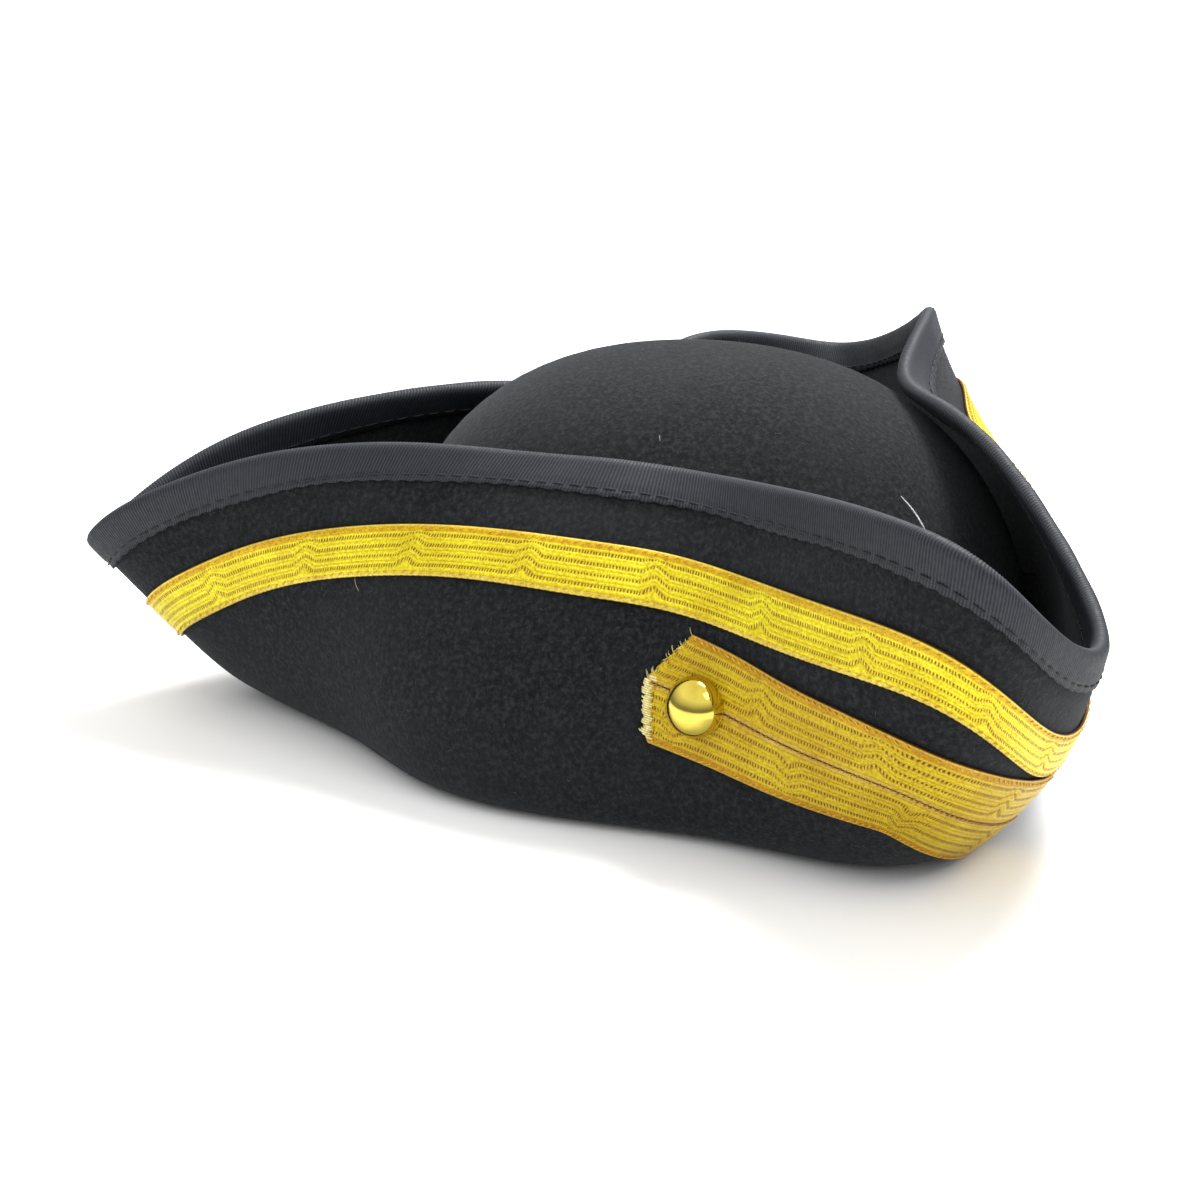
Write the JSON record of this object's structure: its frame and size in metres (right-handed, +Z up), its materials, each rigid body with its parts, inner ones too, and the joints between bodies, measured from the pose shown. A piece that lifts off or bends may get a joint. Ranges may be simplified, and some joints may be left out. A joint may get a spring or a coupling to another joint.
{
  "type": "pirate hat",
  "caption": "Tricorn felt hat: a round crown inside a brim turned up on three sides, ribbon-bound rim, gold braid, and a braid loop held by a domed button.",
  "frame": {"origin": "centre of the hat's outline, in the plane that the ring round the head opening rests on", "axes": "+Z up through the crown, -Y towards the front tip, +X towards the wearer's left flap, which carries the button"},
  "size_m": [0.3478, 0.3129, 0.1191],
  "materials": {
    "wool_felt": "matt felted wool",
    "grosgrain": "ribbed, slight sheen",
    "dark_thread": "matt",
    "gold_braid": "metallic thread braid",
    "gold_thread": "satin",
    "sweatband_fabric": "matt",
    "brass": "polished"
  },
  "bodies": {
    "hat": {"felt_body": "wool_felt", "binding_ribbon": "grosgrain", "binding_thread": "dark_thread", "brim_braid": "gold_braid", "braid_thread_upper": "gold_thread", "braid_thread_lower": "gold_thread", "sweatband": "sweatband_fabric", "sweatband_thread": "dark_thread", "loop_strip_upper": "gold_braid", "loop_strip_lower": "gold_braid", "loop_thread_upper": "gold_thread", "loop_thread_lower": "gold_thread", "button_tie": "dark_thread", "left_flap_tack": "dark_thread", "right_flap_tack": "dark_thread", "back_flap_tack": "dark_thread"},
    "button": {"button_dome": "brass", "button_back": "brass", "button_shank": "brass"}
  },
  "joints": [
    {"name": "button_swivel", "type": "hinge", "parent": "hat", "child": "button", "pos_m": [0.11725, 0.03837, 0.04382], "axis": [0.8399, -0.4508, 0.3022], "range_deg": [-30, 30]}
  ]
}
